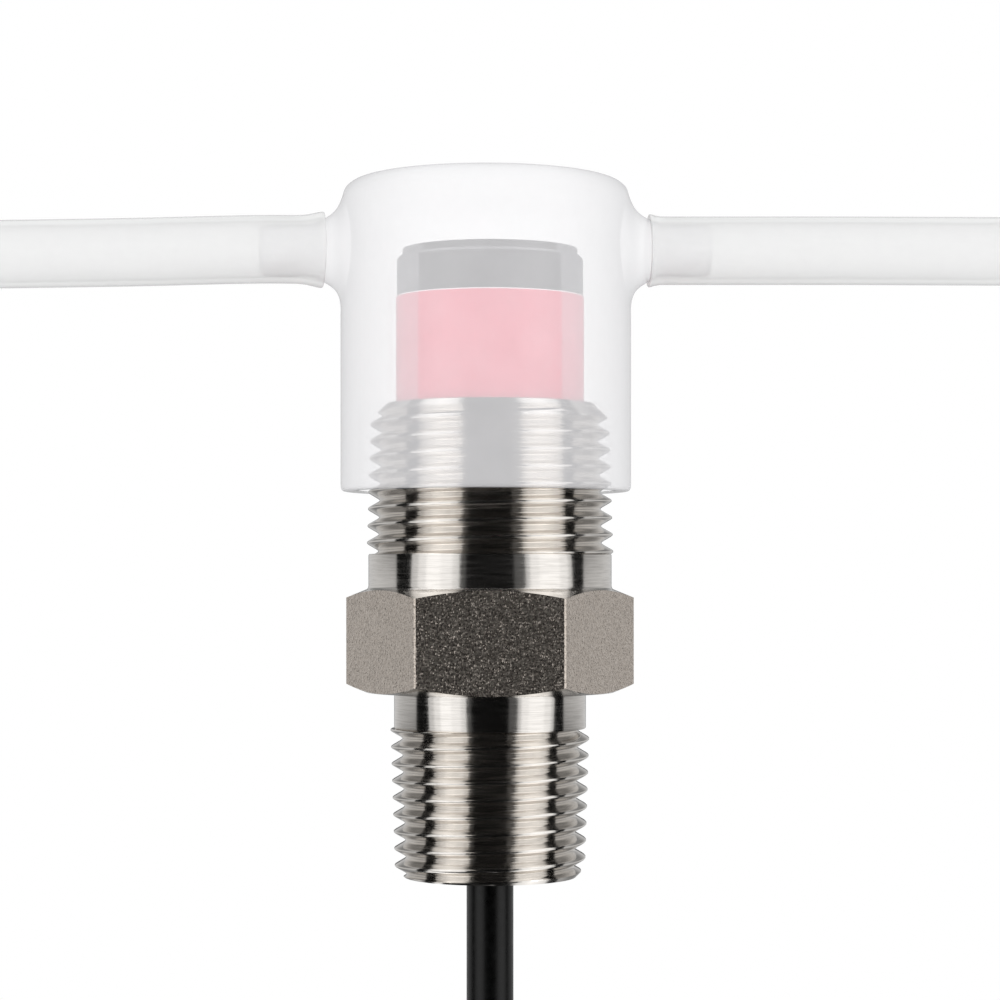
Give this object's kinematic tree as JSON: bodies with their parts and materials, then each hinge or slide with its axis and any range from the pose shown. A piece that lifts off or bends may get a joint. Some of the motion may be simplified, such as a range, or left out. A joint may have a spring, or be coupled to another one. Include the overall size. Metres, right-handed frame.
{
  "type": "inline gas probe",
  "caption": "Threaded hex nipple probe with a black sensor, red band, translucent push-on flow cap with two side ports and hoses, and a hanging cable folded into a hank.",
  "frame": {"origin": "on the probe's axis at the underside of the hexagon, where the lower thread stops against a fitting", "axes": "+Z along the axis to the sensing end, X along the two hose ports, a hexagon flat faces -Y"},
  "size_m": [0.1281, 0.0312, 0.2719],
  "materials": {
    "stainless_steel": "turned and milled stainless steel",
    "housing_plastic": "moulded black plastic, fine matte",
    "red_band": "bare red film band",
    "seal_rubber": "black nitrile rubber",
    "cup_plastic": "natural moulded plastic",
    "lead_metal": "cast lead, dull",
    "wick_felt": "absorbent felt",
    "gold_plate": "gold plate",
    "ptfe": "PTFE film",
    "board_laminate": "green solder mask on laminate",
    "chip_resin": "moulded chip resin",
    "potting_resin": "cast black resin",
    "silicone": "translucent moulded silicone, satin",
    "hose_silicone": "translucent extruded silicone",
    "cable_jacket": "extruded black jacket, smooth",
    "tie_nylon": "moulded black nylon",
    "sleeve_polyolefin": "heat-shrunk sleeve",
    "wire_red": "red wire insulation",
    "wire_black": "black wire insulation",
    "wire_white": "white wire insulation",
    "wire_green": "green wire insulation",
    "wire_blue": "blue wire insulation",
    "tinned_copper": "tinned stranded copper"
  },
  "bodies": {
    "probe": {"hex_nipple": "stainless_steel", "sensor_housing": "housing_plastic", "sensor_top_cap": "housing_plastic", "label_band": "red_band", "housing_seal": "seal_rubber", "electrolyte_cup": "cup_plastic", "lead_anode": "lead_metal", "electrolyte_wick": "wick_felt", "cathode_support": "cup_plastic", "separator_disc": "wick_felt", "gold_cathode": "gold_plate", "gas_membrane": "ptfe", "membrane_ring": "seal_rubber", "contact_pins": "gold_plate", "circuit_board": "board_laminate", "board_chips": "chip_resin", "board_wires": "wire_red", "cable_grommet": "seal_rubber", "resin_plug": "potting_resin", "cable": "cable_jacket", "cable_hank": "cable_jacket", "hank_tie": "tie_nylon", "end_sleeve": "sleeve_polyolefin", "lead_red": "wire_red", "lead_black": "wire_black", "lead_white": "wire_white", "lead_green": "wire_green", "lead_blue": "wire_blue", "lead_tips": "tinned_copper"},
    "cap": {"flow_cap": "silicone", "inlet_hose": "hose_silicone", "outlet_hose": "hose_silicone"}
  },
  "joints": [
    {"name": "cap_pull", "type": "slide", "parent": "probe", "child": "cap", "axis": [0, 0, 1], "range_m": [0, 0.03]}
  ]
}
